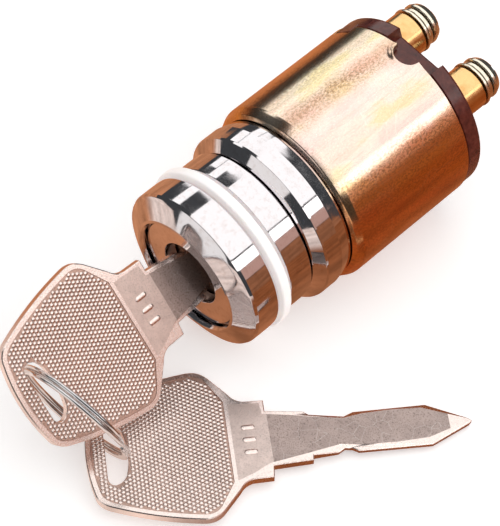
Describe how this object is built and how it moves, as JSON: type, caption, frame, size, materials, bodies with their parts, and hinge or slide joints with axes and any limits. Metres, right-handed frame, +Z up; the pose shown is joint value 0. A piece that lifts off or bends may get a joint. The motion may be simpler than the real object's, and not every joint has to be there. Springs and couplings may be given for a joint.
{
  "type": "selector key switch",
  "caption": "Panel-mounted key switch with chromed front, plated can, moulded terminal base with screw posts, a key in the lock and a spare key on a split ring.",
  "frame": {"origin": "middle of the whole object's footprint, on the surface that it lies on", "axes": "+Y along the switch axis from the key side to the terminals, +Z up"},
  "size_m": [0.059, 0.0936, 0.0319],
  "materials": {
    "chrome": "polished chrome plate",
    "nickel_key": "polished nickel plate",
    "brass": "turned brass",
    "terminal_hardware": "plated brass",
    "zinc_can": "yellow chromated zinc on drawn steel",
    "nylon": "natural nylon",
    "bakelite": "moulded phenolic",
    "rotor_plastic": "moulded",
    "spring_steel": "bright spring steel"
  },
  "bodies": {
    "housing": {"bezel_nut": "chrome", "lock_barrel": "chrome", "panel_washer": "nylon", "back_nut": "chrome", "switch_can": "zinc_can", "terminal_base": "bakelite", "detent_plate": "spring_steel", "return_spring": "spring_steel", "terminal_post_1": "brass", "terminal_washer_1": "terminal_hardware", "lock_washer_1": "spring_steel", "terminal_screw_1": "terminal_hardware", "terminal_post_2": "brass", "terminal_washer_2": "terminal_hardware", "lock_washer_2": "spring_steel", "terminal_screw_2": "terminal_hardware", "terminal_post_3": "brass", "terminal_washer_3": "terminal_hardware", "lock_washer_3": "spring_steel", "terminal_screw_3": "terminal_hardware"},
    "lock_rotor": {"key_plug": "brass", "plug_clip": "spring_steel", "rotor": "rotor_plastic", "contact_bridge": "brass", "wafer_spring_1": "spring_steel", "wafer_spring_2": "spring_steel", "wafer_spring_3": "spring_steel", "wafer_spring_4": "spring_steel", "wafer_spring_5": "spring_steel", "detent_ball_1": "spring_steel", "detent_spring_1": "spring_steel", "detent_ball_2": "spring_steel", "detent_spring_2": "spring_steel", "contact_spring_1": "spring_steel", "contact_spring_2": "spring_steel", "contact_spring_3": "spring_steel"},
    "wafer_1_body": {"wafer_1": "brass"},
    "wafer_2_body": {"wafer_2": "brass"},
    "wafer_3_body": {"wafer_3": "brass"},
    "wafer_4_body": {"wafer_4": "brass"},
    "wafer_5_body": {"wafer_5": "brass"},
    "lock_key": {"key_1": "nickel_key"},
    "ring": {"key_ring": "nickel_key"},
    "spare_key": {"key_2": "nickel_key"}
  },
  "joints": [
    {"name": "key_turn", "type": "hinge", "parent": "housing", "child": "lock_rotor", "pos_m": [-0.01357, 0.00677, 0.01594], "axis": [0, 1, 0], "range_deg": [-80, 0]},
    {"name": "key_pull", "type": "slide", "parent": "lock_rotor", "child": "lock_key", "axis": [0, -1, 0], "range_m": [0, 0.034]},
    {"name": "wafer_1_lift", "type": "slide", "parent": "lock_rotor", "child": "wafer_1_body", "axis": [-0.6896, 0, 0.7242], "range_m": [0, 0.0008]},
    {"name": "wafer_2_lift", "type": "slide", "parent": "lock_rotor", "child": "wafer_2_body", "axis": [0.6896, 0, -0.7242], "range_m": [0, 0.0008]},
    {"name": "wafer_3_lift", "type": "slide", "parent": "lock_rotor", "child": "wafer_3_body", "axis": [-0.6896, 0, 0.7242], "range_m": [0, 0.0008]},
    {"name": "wafer_4_lift", "type": "slide", "parent": "lock_rotor", "child": "wafer_4_body", "axis": [0.6896, 0, -0.7242], "range_m": [0, 0.0008]},
    {"name": "wafer_5_lift", "type": "slide", "parent": "lock_rotor", "child": "wafer_5_body", "axis": [-0.6896, 0, 0.7242], "range_m": [0, 0.0008]},
    {"name": "ring_swing", "type": "hinge", "parent": "lock_key", "child": "ring", "pos_m": [-0.01562, -0.04202, 0.0181], "axis": [0.6685, 0.2447, -0.7023], "range_deg": [0, 18]},
    {"name": "spare_swivel", "type": "hinge", "parent": "ring", "child": "spare_key", "pos_m": [-0.0038, -0.037, 0.00291], "axis": [0, 0, 1], "range_deg": [-25, 25]}
  ],
  "couplings": [
    {"joint": "wafer_1_lift", "follows": "key_pull", "ratio": 0.023529},
    {"joint": "wafer_2_lift", "follows": "key_pull", "ratio": 0.023529},
    {"joint": "wafer_3_lift", "follows": "key_pull", "ratio": 0.023529},
    {"joint": "wafer_4_lift", "follows": "key_pull", "ratio": 0.023529},
    {"joint": "wafer_5_lift", "follows": "key_pull", "ratio": 0.023529}
  ]
}
